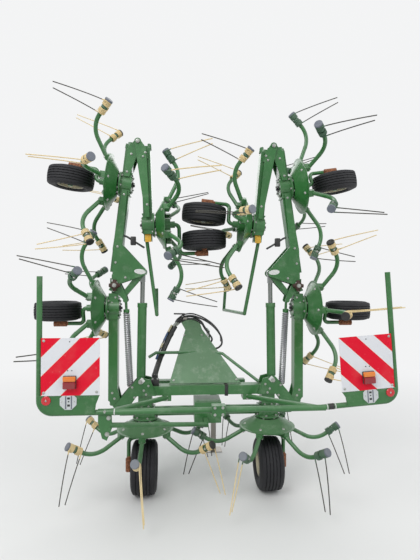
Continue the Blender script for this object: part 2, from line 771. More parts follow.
@dataclass
class Tines:
    """The sprung double tines at the ends of a rotor's arms."""

    arm_count: int = 6
    tip_r: float = 0.765
    tip_z: float = 0.102
    arm_low_r: float = 0.45
    arm_low_z: float = 0.421
    arm_bend_r: float = 0.2
    arm_up: float = math.radians(32.0)
    wire_r: float = 0.005
    coil_r: float = 0.03
    coil_turns: float = 4.25
    coil_in: tuple[float, float] = (0.058, 0.017)
    coil_out: tuple[float, float] = (0.088, 0.129)
    tine_trail: float = 0.045
    inner_short: float = 0.046
    turn_steps: int = 12
    tine_steps: int = 7
    tine_start: float = 0.28
    tine_bow: float = 0.035
    clamp_s: float = 0.073
    clamp_reach: float = 0.026
    clamp: tuple[tuple[float, float], ...] = (
        (0.0185, 0.064), (0.0262, 0.064), (0.0275, 0.067), (0.0275, 0.079), (0.0262, 0.082), (0.0185, 0.082))
    cap: tuple[tuple[float, float], ...] = (
        (0.0, 0.1305), (0.0335, 0.1305), (0.0345, 0.134), (0.0345, 0.142), (0.031, 0.147), (0.0, 0.148))

    def along_arm(self, s: float) -> Vector:
        """Finds a place on the arm's end.

        Args:
            s: Distance from the end of the arm's bend.

        Returns:
            The place in the rotor's frame, on the arm along X.
        """
        x = self.arm_low_r + self.arm_bend_r * math.sin(self.arm_up)
        z = self.arm_low_z + self.arm_bend_r * (1.0 - math.cos(self.arm_up))
        return Vector((x + s * math.cos(self.arm_up), 0.0, z + s * math.sin(self.arm_up)))

    def half(self, sense: int, reach: float, span: tuple[float, float]) -> list[Vector]:
        """Finds the middle line of one coil and its tine, from the clamp to the tip.

        Args:
            sense: Which way the tine trails.
            reach: Distance of the tip from the rotor's axis.
            span: Where the coil starts and ends along the arm.

        Returns:
            The points.
        """
        side = Vector((0.0, -sense, 0.0))
        down = Vector((math.sin(self.arm_up), 0.0, -math.cos(self.arm_up)))
        count = round(self.coil_turns * self.turn_steps)
        points = []
        for k in range(count + 1):
            angle = (k - count) / self.turn_steps * math.tau
            s = span[0] + (span[1] - span[0]) * k / count
            points.append(self.along_arm(s) + self.coil_r * (side * math.cos(angle) + down * math.sin(angle)))
        start = points[-1]
        tip = Vector((reach, -sense * (self.coil_r + self.tine_trail), self.tip_z))
        middle = start.lerp(tip, self.tine_start) + down * self.tine_bow
        for k in range(1, self.tine_steps + 1):
            t = k / self.tine_steps
            points.append(start * (1 - t) ** 2 + middle * 2 * t * (1 - t) + tip * t * t)
        return points

    def pair(self, sense: int, coil: Finish, wire: Finish, cap: Finish) -> Shape:
        """Makes the double tine of one arm, with its clamp and the cap on the arm's end.

        Args:
            sense: Which way the tines trail.
            coil: Finish of the coils.
            wire: Finish of the tines.
            cap: Finish of the cap.

        Returns:
            The double tine on an arm along X.
        """
        made = Shape()
        reach = self.tip_r - 2 * self.wire_r
        first = self.half(sense, reach - self.inner_short, self.coil_in)
        second = self.half(sense, reach, self.coil_out)
        wound = round(self.coil_turns * self.turn_steps) + 2
        made.sweep(first[:wound][::-1] + second[:wound], self.wire_r, coil, 6)
        for route in (first, second):
            made.sweep(route[wound - 2:], self.wire_r * 0.86, wire, 6)
        out = self.along_arm(1.0) - self.along_arm(0.0)
        base = frame_along(self.along_arm(0.0), out)
        made.turned(list(self.clamp), COIL_GREEN, 16, base)
        made.turned(list(self.cap), cap, 18, base)
        bolt_at = self.along_arm(self.clamp_s) + Vector((0.0, sense * self.clamp_reach, 0.0))
        made.stamp(M12, frame_along(bolt_at, Vector((0.0, sense, 0.0))))
        return made

    def build(self, station: Station) -> None:
        """Makes the tines of one rotor.

        Args:
            station: The rotor.
        """
        whole = Shape()
        place = station.matrix()
        styles = [(COIL_CREAM, COIL_CREAM, PLASTIC_BLACK), (COIL_GREEN, WIRE_DARK, CAP_GREY),
                  (COIL_CREAM, WIRE_DARK, CAP_GREY), (COIL_GREEN, COIL_CREAM, CAP_GREY),
                  (COIL_CREAM, COIL_CREAM, CAP_GREY)]
        pairs = [self.pair(station.sense, *style) for style in styles]
        for k in range(self.arm_count):
            turn = Matrix.Rotation(station.phase + k * math.tau / self.arm_count, 4, "Z")
            whole.stamp(pairs[TINE_STYLE[station.name][k]], place @ turn)
        whole.build(f"wound_tines_{station.name}", f"rotor_{station.name}", "tine_paint",
                    (f"tines_{station.name}",))


# Style of each arm's tines, by its place in the list of styles in Tines.build: 0 cream, 1 dark,
# 2 cream coils with dark tines, 3 dark coils with cream tines, 4 cream with a grey cap
TINE_STYLE = {
    "centre_left": (2, 2, 1, 1, 0, 4),
    "centre_right": (1, 1, 1, 1, 3, 1),
    "inner_left": (1, 1, 0, 0, 1, 1),
    "inner_right": (0, 0, 0, 0, 0, 0),
    "middle_left": (2, 0, 0, 0, 0, 4),
    "middle_right": (1, 1, 1, 1, 1, 1),
    "outer_left": (1, 1, 1, 3, 3, 1),
    "outer_right": (0, 2, 0, 2, 2, 0),
}


@dataclass
class RotorBolts:
    """The bolts on a rotor's disc, on its flange and on the gearbox above it."""

    arm_count: int = 6
    disc_r: float = 0.205
    disc_z: float = 0.571
    cone_slope: float = math.radians(31.9)
    flange_r: float = 0.09
    flange_z: float = 0.63
    house_flange_r: float = 0.094
    house_flange_z: float = 0.657
    lid_r: float = 0.062
    lid_z: float = 0.752
    arm_bolts: tuple[tuple[float, float], ...] = ((0.222, 0.02), (0.222, -0.02))
    arm_bolt_z: float = 0.508
    plug: tuple[tuple[float, float], ...] = (
        (0.0, 0.752), (0.03, 0.752), (0.03, 0.76), (0.012, 0.764), (0.012, 0.774), (0.0, 0.776))

    def ring(self, shape: Shape, bolt: Shape, place: Matrix, radius: float, z: float, count: int,
             lean: float = 0.0, start: float = 0.0) -> None:
        """Adds a ring of bolts.

        Args:
            shape: Where they are added.
            bolt: The bolt.
            place: The rotor's frame.
            radius: Radius of the ring.
            z: Height of the ring.
            count: How many there are.
            lean: How far they lean outwards.
            start: Angle of the first.
        """
        for k in range(count):
            turn = Matrix.Rotation(start + k * math.tau / count, 4, "Z")
            spot = Matrix.Translation((radius, 0, z)) @ Matrix.Rotation(lean, 4, "Y")
            shape.stamp(bolt, place @ turn @ spot)

    def build(self, station: Station) -> None:
        """Makes the bolts of one rotor and its gearbox.

        Args:
            station: The rotor.
        """
        place = station.matrix()
        on_rotor = Shape()
        self.ring(on_rotor, DOME, place, self.disc_r, self.disc_z, self.arm_count, self.cone_slope,
                  station.phase)
        self.ring(on_rotor, M12, place, self.flange_r, self.flange_z, self.arm_count)
        under = Matrix.Rotation(math.pi, 4, "X")
        for k in range(self.arm_count):
            turn = Matrix.Rotation(station.phase + k * math.tau / self.arm_count, 4, "Z")
            for x, y in self.arm_bolts:
                on_rotor.stamp(M12, place @ turn @ Matrix.Translation((x, y, self.arm_bolt_z)) @ under)
        on_rotor.build(f"disc_bolts_{station.name}", f"rotor_{station.name}", "bare_steel")
        on_house = Shape()
        self.ring(on_house, M12, place, self.house_flange_r, self.house_flange_z, 6, start=math.radians(15))
        self.ring(on_house, M12, place, self.lid_r, self.lid_z, 6)
        on_house.turned(list(self.plug), PLASTIC_BLACK, 16, place)
        on_house.build(f"gearbox_bolts_{station.name}", station.boom_body, "bare_steel")


@dataclass
class Wheel:
    """A ribbed tyre on its rim, with the rim's nuts and hub cap."""

    bead_inset: float = 0.022
    rim_d: float = 0.203
    groove_count: int = 5
    groove_w: float = 0.0065
    groove_deep: float = 0.008
    tread_share: float = 0.78
    crown_drop: float = 0.006
    steps: int = 80
    notch: float = 0.0022
    hub_half: float = 0.055
    inside: float = 0.0003
    nut_circle: float = 0.054
    small_size: tuple[float, float] = (0.165, 0.203)
    bead_line_r: float = 0.118
    side_line_drop: float = 0.058

    def profile(self, width: float, high: float) -> list[tuple[float, float]]:
        """Draws the tyre's outline across its tread.

        Args:
            width: Width of the tyre.
            high: Its outer radius.

        Returns:
            The closed outline as radius and height.
        """
        half = width / 2
        bead = half - self.bead_inset
        tread = half * self.tread_share
        low = self.rim_d / 2 + 0.0005
        ribs = self.groove_count + 1
        rib_w = (2 * tread - self.groove_count * self.groove_w) / ribs
        right: list[tuple[float, float]] = [
            (low, -bead), (low + 0.014, -bead - 0.006), (low + 0.03, -half + 0.004), (low + 0.05, -half),
            (high - 0.046, -half), (high - 0.043, -half), (high - 0.04, -half + 0.0025),
            (high - 0.03, -half + 0.0045), (high - 0.019, -half + 0.012), (high - 0.0105, -tread - 0.007)]
        left = [(r, -h) for r, h in reversed(right)]
        crown = []
        for k in range(ribs):
            start = -tread + k * (rib_w + self.groove_w)
            for h in (start, start + rib_w):
                crown.append((high - self.crown_drop * (h / tread) ** 2, h))
            if k < self.groove_count:
                for h in (start + rib_w + 0.0012, start + rib_w + self.groove_w - 0.0012):
                    crown.append((high - self.crown_drop * (h / tread) ** 2 - self.groove_deep, h))
        return right + crown + left

    def notched(self, width: float, high: float) -> Callable[[bmesh.types.BMesh], None]:
        """Makes the change that cuts small sipes into the ribs' edges.

        Args:
            width: Width of the tyre.
            high: Its outer radius.

        Returns:
            The change to a turned tyre.
        """
        tread = width / 2 * self.tread_share

        def change(bm: bmesh.types.BMesh) -> None:
            """Moves every third ring of rib edges a little into the rib."""
            rib_w = (2 * tread - self.groove_count * self.groove_w) / (self.groove_count + 1)
            period = rib_w + self.groove_w
            for v in bm.verts:
                radius = math.hypot(v.co.x, v.co.y)
                ring = round(math.atan2(v.co.y, v.co.x) / math.tau * self.steps)
                if radius < high - self.crown_drop - 0.001 or abs(v.co.z) > tread or ring % 3:
                    continue
                across = (v.co.z + tread) % period
                inward = 1.0 if across < rib_w / 2 else -1.0
                bmesh.ops.translate(bm, vec=(0, 0, inward * self.notch), verts=[v])

        return change

    def build(self, station: Station) -> None:
        """Makes one wheel.

        Args:
            station: The rotor that the wheel belongs to.
        """
        joint = next(j for j in frame["joints"] if j["name"] == f"roll_{station.name}")
        place = frame_along(Vector(joint["pos_m"]), Vector(joint["axis"]))
        width, outer = self.small_size
        if station.section is Section.CENTRE:
            low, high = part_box(f"tyre_{station.name}")
            size = sorted(abs(b - a) for a, b in zip(low, high))
            width, outer = size[0], size[2] / 2
        tyre = Shape()
        inside = outer - self.inside
        tyre.turned(self.profile(width, inside), RUBBER, self.steps, place, self.notched(width, inside))
        for side in (-1, 1):
            flip = Matrix.Diagonal((1, 1, side, 1))
            for radius in (self.bead_line_r, outer - self.side_line_drop):
                tyre.turned([(radius, width / 2 - 0.003), (radius + 0.004, width / 2 - 0.0005),
                             (radius + 0.008, width / 2 - 0.003)], RUBBER, 48, place @ flip)
        wheel_body = f"wheel_{station.name}"
        tyre.build(f"ribbed_tyre_{station.name}", wheel_body, "tyre", (f"tyre_{station.name}",))
        nuts = Shape()
        for side in (-1, 1):
            flip = place @ Matrix.Diagonal((1, 1, side, 1))
            for k in range(4):
                turn = Matrix.Rotation(k * math.pi / 2, 4, "Z")
                nuts.stamp(M12, flip @ turn @ Matrix.Translation((self.nut_circle, 0, 0.003)))
            cap_low, cap_top = self.hub_half - 0.002, self.hub_half + 0.0009
            nuts.turned([(0.0135, cap_low), (0.031, cap_low), (0.031, self.hub_half + 0.0006),
                         (0.024, cap_top), (0.0135, cap_top)], PLASTIC_BLACK, 24, flip)
        valve = [place @ Vector(at) for at in ((0.08, 0.0, 0.0), (0.083, 0.0, 0.03))]
        nuts.rod(*valve, 0.004, PLASTIC_BLACK, 8)
        nuts.build(f"wheel_nuts_{station.name}", wheel_body, "bare_steel")


@dataclass
class CoilSpring:
    """A relief spring from the frame's plate to the inner boom."""

    foot: Point = (0.683, 0.0, 0.889)
    top: Point = (0.726, 0.0, 1.69)
    coil_r: float = 0.0238
    wire_r: float = 0.0072
    turns: int = 38
    turn_steps: int = 12
    coil_start: float = 0.042
    stretch: float = 0.1
    pin_r: float = 0.009
    hook_r: float = 0.008
    tube_r: float = 0.012
    coil_end: float = 0.69

    def build(self, side: Side) -> None:
        """Makes one spring, whose lowest turns stretch between the two bodies.

        Args:
            side: Which one.
        """
        foot = Vector((self.foot[0] * side.value, self.foot[1], self.foot[2]))
        top = Vector((self.top[0] * side.value, self.top[1], self.top[2]))
        along = (top - foot).normalized()
        base = frame_along(foot, along)
        length = (top - foot).length
        made = Shape()
        count = self.turns * self.turn_steps
        coil = []
        for k in range(count + 1):
            angle = k / self.turn_steps * math.tau
            s = self.coil_start + (self.coil_end - self.coil_start) * k / count
            coil.append(base @ Vector((self.coil_r * math.cos(angle), self.coil_r * math.sin(angle), s)))
        made.sweep(coil, self.wire_r, SPRING_STEEL, 8)
        start, end = self.coil_start, self.coil_end
        made.turned([(0.0, start - 0.006), (0.026, start - 0.006), (0.026, start + 0.004),
                     (0.0, start + 0.004)], BARE_STEEL, 20, base)
        made.turned([(0.0, end - 0.002), (0.024, end - 0.002), (0.027, end + 0.006), (0.027, end + 0.03),
                     (0.012, end + 0.036), (0.0, end + 0.036)], GREEN, 20, base)
        made.rod(foot + along * self.pin_r, foot + along * (start + 0.01), self.hook_r, BARE_STEEL, 12)
        made.rod(foot + along * (end + 0.02), foot + along * (length - self.pin_r), self.tube_r, GREEN, 14)
        name = side.name.lower()
        piece = made.build(f"coil_spring_{name}", "", "bare_steel")
        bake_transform(piece)
        if side is Side.RIGHT:
            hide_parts("springs")


@dataclass(frozen=True)
class Guard:
    """One side of the rear guard, with its board, lamp, reflector and eight-cornered plate."""

    side: Side
    reach: float
    tilt: float
    board_z: float
    clamp_x: float = 0.74
    guard_y: float = 0.805
    guard_z: float = 0.95
    tube_r: float = 0.021
    board_in: float = 0.02
    board_s: float = 0.392
    face: float = -0.0033
    lamp_edge: float = -0.237
    lamp_s: float = 0.088
    lamp_up: float = 0.048
    lamp_deep: float = 0.037
    lamp_foot: float = 0.014
    lens_inset: float = 0.002
    amber_from: float = 0.58
    rib_count: int = 5
    reflector_at: Point = (-0.035, 0.0, -0.033)
    sign_at: Point = (-0.182, 0.0, -0.041)
    sign_half: float = 0.056
    sign_cut: float = 0.0405

    def matrix(self) -> Matrix:
        """Finds the board's frame: X outwards to its outer edge, Y forwards, Z up from the ground.

        Returns:
            The frame's matrix.
        """
        mirror = Matrix.Diagonal((self.side.value, 1, 1, 1))
        clamp = Matrix.Translation((self.clamp_x, -self.guard_y, self.guard_z))
        back = Matrix.Translation((-self.clamp_x, 0, -self.guard_z))
        edge = Matrix.Translation((self.reach - self.board_in, self.face - self.tube_r, 0))
        return mirror @ clamp @ Matrix.Rotation(-self.tilt, 4, "Y") @ back @ edge

    def lamp(self, made: Shape, place: Matrix) -> None:
        """Adds the tail lamp: a black foot, an amber lens over a red one, and their ribs.

        Args:
            made: Where it is added.
            place: The board's frame.
        """
        inset, seam = self.lens_inset, 0.0006
        x0, x1 = self.lamp_edge, self.lamp_edge + self.lamp_s
        z0, z1 = self.board_z + self.lamp_up, self.board_z + self.lamp_up + self.lamp_s
        split = z0 + self.lamp_s * self.amber_from
        made.box((x0, -self.lamp_foot, z0), (x1, self.face, z1), PLASTIC_BLACK, 0.003, place)
        for low, high, finish in ((z0 + inset, split - seam, LENS_RED),
                                  (split + seam, z1 - inset, LENS_AMBER)):
            made.box((x0 + inset, -self.lamp_deep, low), (x1 - inset, -self.lamp_foot + 0.0005, high), finish,
                     0.006, place)
        for k in range(1, self.rib_count + 1):
            z = z0 + 0.008 * k
            made.box((x0 + 0.012, -self.lamp_deep - 0.0001, z),
                     (x1 - 0.012, -self.lamp_deep + 0.001, z + 0.0025), LENS_RED, 0.0004, place)

    def facing(self, place: Matrix, at: Point) -> Matrix:
        """Finds the frame of a plate that faces backwards below the board.

        Args:
            place: The board's frame.
            at: The plate's middle, with its height from the board's lower edge.

        Returns:
            The frame, whose Z points backwards.
        """
        return place @ Matrix.Translation((at[0], at[1], self.board_z + at[2])) @ FACING_BACK

    def reflector(self, made: Shape, place: Matrix) -> None:
        """Adds the round reflector.

        Args:
            made: Where it is added.
            place: The board's frame.
        """
        base = self.facing(place, self.reflector_at)
        made.turned([(0.0, 0.0002), (0.031, 0.0002), (0.031, 0.006), (0.028, 0.0085), (0.0, 0.0095)],
                    REFLECTOR_RED, 32, base)
        made.turned([(0.011, 0.009), (0.012, 0.0105), (0.014, 0.009)], REFLECTOR_RED, 24, base)
        made.stamp(DOME, base @ Matrix.Translation((0, 0, 0.0085)) @ Matrix.Scale(0.55, 4))

    def sign(self, made: Shape, place: Matrix) -> None:
        """Adds the blank eight-cornered plate with its two ridges and its black square holes.

        Args:
            made: Where it is added.
            place: The board's frame.
        """
        base = self.facing(place, self.sign_at)
        half, cut = self.sign_half, self.sign_cut
        slope = half * math.tan(math.radians(22.5))
        top_x = slope + (half - cut)
        corners = [(-top_x, cut), (-half, slope), (-half, -slope), (-slope, -half), (slope, -half),
                   (half, -slope), (half, slope), (top_x, cut)]
        made.plate(corners, 0.004, SIGN_WHITE, base, 0.0012)
        for x in (-0.026, 0.012):
            made.box((x, -0.05, 0.003), (x + 0.008, 0.038, 0.006), CAP_GREY, 0.001, base)
        for y, size in ((0.022, 0.009), (0.0, 0.005), (-0.026, 0.009)):
            made.box((-0.003 - size, y - size * 0.8, 0.0035), (-0.003 + size, y + size * 0.8, 0.0048),
                     PLASTIC_BLACK, 0.0005, base)
        for x in (-0.042, 0.042):
            made.stamp(DOME, base @ Matrix.Translation((x, 0, 0.004)) @ Matrix.Scale(0.35, 4))

    def build(self, made: Shape, screws: Shape) -> None:
        """Adds what hangs on this side of the guard.

        Args:
            made: Shape of the lamps and plates.
            screws: Shape of the boards' screws.
        """
        place = self.matrix()
        self.lamp(made, place)
        self.reflector(made, place)
        self.sign(made, place)
        low, high = self.board_z, self.board_z + self.board_s
        for x, z in ((-0.018, high - 0.018), (-0.018, low + 0.02), (-self.board_s + 0.02, low + 0.022)):
            at = Matrix.Translation((x, self.face, z))
            screws.stamp(DOME, place @ at @ FACING_BACK @ Matrix.Scale(0.75, 4))
        for x, z in ((-0.178, high - 0.222), (-0.206, high - 0.222), (-0.19, high - 0.025)):
            ends = [place @ Vector((x, self.face + y, z)) for y in (0.0005, -0.0012)]
            screws.rod(*ends, 0.004, PLASTIC_BLACK, 10)


GUARDS = [Guard(Side.LEFT, 1.21, 0.0, 1.077), Guard(Side.RIGHT, 1.335, math.radians(4.25), 1.052)]


@dataclass(frozen=True)
class StripedBoard:
    """Material of the two warning boards: red and white stripes that fall outwards."""

    name: str = "warning_stripes"
    red: Colour = (0.66, 0.0, 0.02)
    white: Colour = (0.66, 0.67, 0.7)
    seam: Colour = (0.7, 0.6, 0.52)
    bands: float = 3.0

    def across(self, t: NodeTree, place: bpy.types.NodeSocket, guard: Guard) -> bpy.types.NodeSocket:
        """Works out how far a point lies across one board's stripes.

        Args:
            t: The material's tree.
            place: Object coordinates.
            guard: The board's side of the guard.

        Returns:
            The number of stripes from the board's outer top corner.
        """
        side = guard.side.value
        turned = t.add("VectorRotate", rotation_type="Y_AXIS", Angle=side * guard.tilt,
                       Center=(side * guard.clamp_x, -guard.guard_y, guard.guard_z))
        t.put(turned, "Vector", place)
        part = t.add("SeparateXYZ")
        t.put(part, 0, turned.outputs[0])
        edge = guard.reach - guard.board_in
        top = guard.board_z + guard.board_s
        outward = t.math("MULTIPLY", part.outputs["X"], float(side))
        u = t.math("DIVIDE", t.math("SUBTRACT", edge, outward), guard.board_s)
        v = t.math("DIVIDE", t.math("SUBTRACT", top, part.outputs["Z"]), guard.board_s)
        return t.math("MULTIPLY", t.math("ADD", u, v), self.bands)

    def material(self) -> bpy.types.Material:
        """Builds the material.

        Returns:
            The boards' material.
        """
        made = bpy.data.materials.new(self.name)
        made.use_nodes = True
        t = NodeTree(made.node_tree)
        shader = made.node_tree.nodes["Principled BSDF"]
        place = t.add("TexCoord").outputs["Object"]
        part = t.add("SeparateXYZ")
        t.put(part, 0, place)
        right = t.math("GREATER_THAN", part.outputs["X"], 0.0)
        left_bands, right_bands = (self.across(t, place, guard) for guard in GUARDS)
        stay = t.math("MULTIPLY", left_bands, t.math("SUBTRACT", 1.0, right))
        count = t.math("ADD", stay, t.math("MULTIPLY", right_bands, right))
        phase = t.math("FRACT", t.math("DIVIDE", count, 2.0))
        white = t.math("GREATER_THAN", phase, 0.5)
        share = t.math("FRACT", count)
        near = t.math("MINIMUM", share, t.math("SUBTRACT", 1.0, share))
        seam = t.math("MULTIPLY", t.math("LESS_THAN", near, 0.035), white)
        striped = t.mix(white, self.red, self.white)
        colour = t.mix(seam, striped, self.seam)
        scuffs = t.math("MULTIPLY", t.ramp(t.noise(place, 38.0, 7.0, 0.7), 0.62, 0.72), 0.35)
        grime = t.math("MULTIPLY", t.ramp(t.noise(place, 5.0, 4.0), 0.45, 0.8), 0.1)
        scuffed = t.mix(scuffs, colour, (0.4, 0.33, 0.3))
        t.put(shader, "Base Color", t.mix(grime, scuffed, (0.42, 0.37, 0.3)))
        t.put(shader, "Roughness", t.math("ADD", 0.4, t.math("MULTIPLY", scuffs, 0.8)))
        cells = t.add("TexVoronoi", Scale=260.0)
        t.put(cells, "Vector", place)
        bump = t.add("Bump", Strength=0.06, Distance=0.001)
        t.put(bump, "Height", cells.outputs["Distance"])
        t.put(shader, "Normal", bump.outputs[0])
        t.put(shader, "Specular IOR Level", 0.25)
        made.diffuse_color = (*self.red, 1.0)
        return made


@dataclass
class Hydraulics:
    """Hoses from the valve block on the beam over the hood, with their sleeve and tapes."""

    sleeve_r: float = 0.025
    hose_r: float = 0.009
    sleeve: tuple[Point, ...] = (
        (-0.466, 0.0, 0.985), (-0.466, 0.0, 1.006), (-0.462, 0.04, 1.04), (-0.434, 0.186, 1.118),
        (-0.402, 0.258, 1.196), (-0.366, 0.306, 1.274), (-0.326, 0.346, 1.354), (-0.29, 0.366, 1.416))
    low_hose: tuple[Point, ...] = (
        (-0.276, 0.376, 1.426), (-0.25, 0.396, 1.446), (-0.196, 0.42, 1.474), (-0.13, 0.428, 1.482),
        (-0.07, 0.412, 1.466), (-0.022, 0.386, 1.432), (0.004, 0.35, 1.39), (0.04, 0.31, 1.345),
        (0.06, 0.298, 1.318), (0.07, 0.302, 1.29), (0.06, 0.328, 1.264))
    high_hose: tuple[Point, ...] = (
        (-0.292, 0.36, 1.436), (-0.266, 0.386, 1.468), (-0.206, 0.41, 1.504), (-0.13, 0.418, 1.514),
        (-0.06, 0.404, 1.498), (0.01, 0.38, 1.468), (0.076, 0.348, 1.424), (0.128, 0.306, 1.37),
        (0.156, 0.262, 1.318), (0.158, 0.228, 1.262), (0.134, 0.24, 1.226), (0.104, 0.262, 1.21),
        (0.058, 0.288, 1.206))
    block: tuple[Point, Point] = ((-0.5, -0.034, 0.9303), (-0.43, 0.034, 0.984))

    def sleeve_part(self, made: Shape, start: float, end: float, radius: float, finish: Finish) -> None:
        """Adds a band or tape on a stretch of the sleeve.

        Args:
            made: Where it is added.
            start: Where it starts, as a share of the sleeve.
            end: Where it ends.
            radius: Its radius.
            finish: Its finish.
        """
        route = smooth_route(list(self.sleeve), 10)
        last = len(route) - 1
        made.sweep(route[round(start * last):round(end * last) + 1], radius, finish, 20)

    def build(self) -> None:
        """Makes the hoses, the sleeve and the valve block."""
        made = Shape()
        self.sleeve_part(made, 0.0, 1.0, self.sleeve_r, HOSE_BLACK)
        for start, end, finish in ((0.5, 0.53, PLASTIC_BLACK), (0.82, 0.85, PLASTIC_BLACK)):
            self.sleeve_part(made, start, end, self.sleeve_r + 0.003, finish)
        for route in (self.low_hose, self.high_hose):
            made.sweep(smooth_route(list(route), 5), self.hose_r, HOSE_BLACK, 12)
            beside = [(x * 0.97 - 0.004, y + 0.006, z + 0.021) for x, y, z in route[:-3]]
            made.sweep(smooth_route(beside, 5), self.hose_r * 0.8, HOSE_BLACK, 10)
        for route in (self.low_hose, self.high_hose):
            start, then = Vector(route[0]), Vector(route[1])
            along = (then - start).normalized()
            made.rod(start - along * 0.03, start + along * 0.03, 0.0125, ZINC, 6, bevel=0.001)
        made.box(*self.block, PLASTIC_BLACK, 0.004)
        for k in range(3):
            x = self.block[0][0] + 0.015 + 0.02 * k
            for y in (-0.02, 0.014):
                made.rod(Vector((x, y, 0.983)), Vector((x, y, 1.0)), 0.007, ZINC, 6, bevel=0.001)
                made.rod(Vector((x, y, 0.998)), Vector((x - 0.004, y * 1.5, 1.03)), 0.006, HOSE_BLACK, 10)
        made.build("hydraulic_lines", "root", "hose", ("hoses",))
        tapes = Shape()
        aside = Vector((-0.032, -0.012, 0.012))
        beside = [at + aside for at in smooth_route(list(self.sleeve[3:]), 6)]
        last = len(beside) - 1
        tapes.sweep(beside, 0.007, HOSE_BLACK, 10)
        for start, end, finish in ((0.02, 0.12, TAPE_BLUE), (0.3, 0.42, TAPE_CREAM), (0.5, 0.72, TAPE_BLUE),
                                   (0.74, 0.98, TAPE_CREAM)):
            tapes.sweep(beside[round(start * last):round(end * last) + 1], 0.0092, finish, 12)
        tapes.build("marked_line", "root", "hose")


@dataclass
class PinEnds:
    """Nuts and washers on the hinge and cylinder pins."""

    inner_y: float = 0.076
    middle_y: float = 0.08
    outer_y: float = 0.095
    flat: float = 0.62

    def build(self) -> None:
        """Adds a nut at both ends of every pin."""
        places = {joint["name"]: Vector(joint["pos_m"]) for joint in frame["joints"] if joint.get("pos_m")}
        for side in Side:
            name = side.name.lower()
            rows = {"root": [(f"fold_{name}", self.inner_y), (f"lift_{name}", self.inner_y)],
                    f"wing_middle_{name}": [(f"fold_middle_{name}", self.middle_y)],
                    f"wing_outer_{name}": [(f"fold_outer_{name}", self.outer_y)]}
            for body, pins in rows.items():
                made = Shape()
                for joint, y in pins:
                    for way in (-1, 1):
                        at = places[joint] + Vector((0, way * (y - 0.001), 0))
                        flat = Matrix.Diagonal((1, 1, self.flat, 1))
                        made.stamp(PIN_NUT, frame_along(at, Vector((0, way, 0))) @ flat)
                suffix = "frame" if body == "root" else body
                made.build(f"pin_nuts_{suffix}_{name}", body, "bare_steel")


